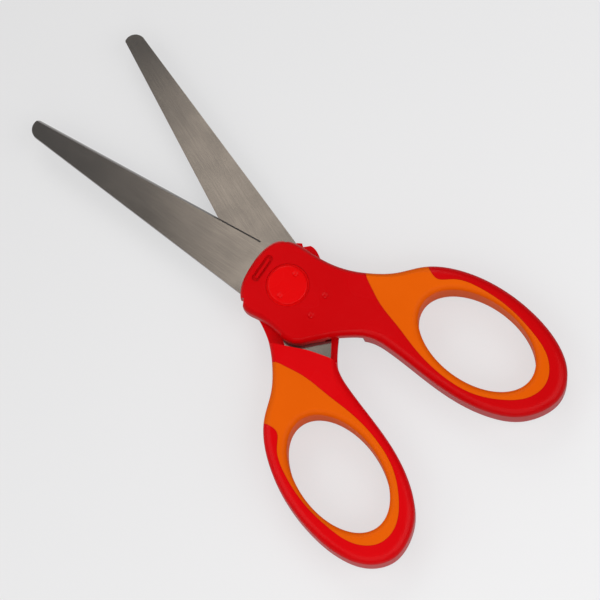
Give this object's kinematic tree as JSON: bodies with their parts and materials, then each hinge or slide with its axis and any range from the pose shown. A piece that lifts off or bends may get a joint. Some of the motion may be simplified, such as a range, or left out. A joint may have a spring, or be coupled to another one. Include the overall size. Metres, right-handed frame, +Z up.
{
  "type": "office scissors",
  "caption": "Soft-grip scissors with blunt-tipped steel blades, open on a capped pivot, with oval finger rings in hard plastic lined with softer plastic.",
  "frame": {"origin": "on the pivot axis, at the flat foot of the rear pivot cap, where the closed side rests on the table", "axes": "+X from the pivot toward the tips along the line that halves the opening, +Z up along the pivot axis, +Y toward the front blade"},
  "size_m": [0.1301, 0.0704, 0.01],
  "materials": {
    "blade_steel": "fine ground",
    "red_plastic": "moulded gloss",
    "cap_plastic": "moulded gloss",
    "orange_grip": "satin",
    "pivot_steel": "turned",
    "washer_plastic": "matte"
  },
  "bodies": {
    "rear_half": {"rear_blade": "blade_steel", "rear_handle": "red_plastic", "rear_grip": "orange_grip", "rear_pivot_cap": "cap_plastic", "pivot_nut": "pivot_steel", "pivot_screw": "pivot_steel", "blade_washer": "washer_plastic"},
    "front_half": {"front_blade": "blade_steel", "front_handle": "red_plastic", "front_grip": "orange_grip", "front_pivot_cap": "cap_plastic"}
  },
  "joints": [
    {"name": "blade_pivot", "type": "hinge", "parent": "rear_half", "child": "front_half", "pos_m": [0, 0, 0.005], "axis": [0, 0, 1], "range_deg": [-22.4, 37]}
  ]
}
